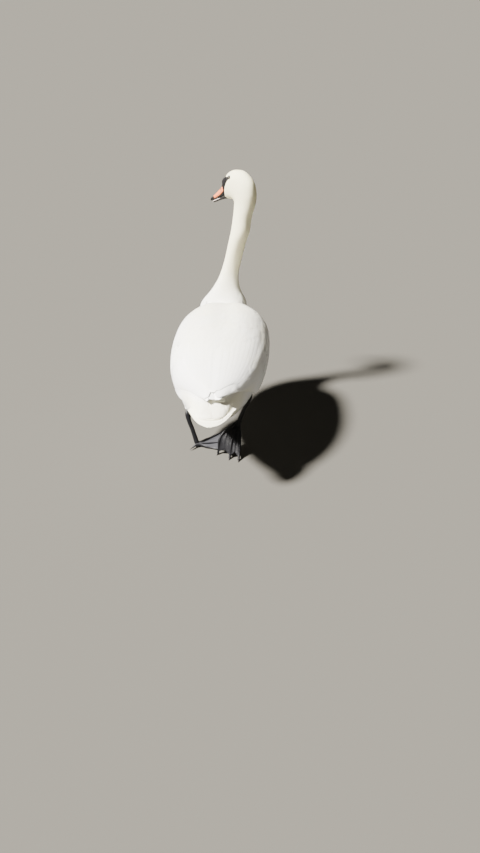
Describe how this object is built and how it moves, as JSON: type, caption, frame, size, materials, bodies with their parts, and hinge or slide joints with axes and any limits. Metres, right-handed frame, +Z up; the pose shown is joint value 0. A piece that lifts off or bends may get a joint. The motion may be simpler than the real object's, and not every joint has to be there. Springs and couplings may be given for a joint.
{
  "type": "mute swan",
  "caption": "Mute swan at life size in mid stride, wings folded, neck raised and head turned to its left, with the rear foot on its toe tips",
  "frame": {"origin": "middle of the bounding box in plan, on the floor", "axes": "+Z is up, the bird walks towards +Y, and +X is its right side"},
  "size_m": [0.3384, 0.724, 0.9097],
  "materials": {
    "plumage": "matte white feathers",
    "bill": "satin horn",
    "horn": "satin black horn",
    "leg_skin": "scaly black skin",
    "eye": "wet gloss",
    "tongue": "moist"
  },
  "bodies": {
    "root": {"trunk": "plumage", "neck_lower": "plumage", "neck_middle": "plumage", "neck_upper": "plumage", "head": "plumage", "tail": "plumage", "wing_left": "plumage", "wing_right": "plumage", "thigh_left": "plumage", "thigh_right": "plumage", "eye_left": "eye", "eye_right": "eye", "bill_knob": "horn", "bill_upper": "bill", "bill_nail": "horn", "bill_lower": "horn", "tongue": "tongue", "shank_left": "leg_skin", "shank_right": "leg_skin", "foot_left": "leg_skin", "foot_right": "leg_skin", "claw_left_inner": "horn", "claw_left_middle": "horn", "claw_left_outer": "horn", "claw_left_hind": "horn", "claw_right_inner": "horn", "claw_right_middle": "horn", "claw_right_outer": "horn", "claw_right_hind": "horn"}
  },
  "joints": []
}
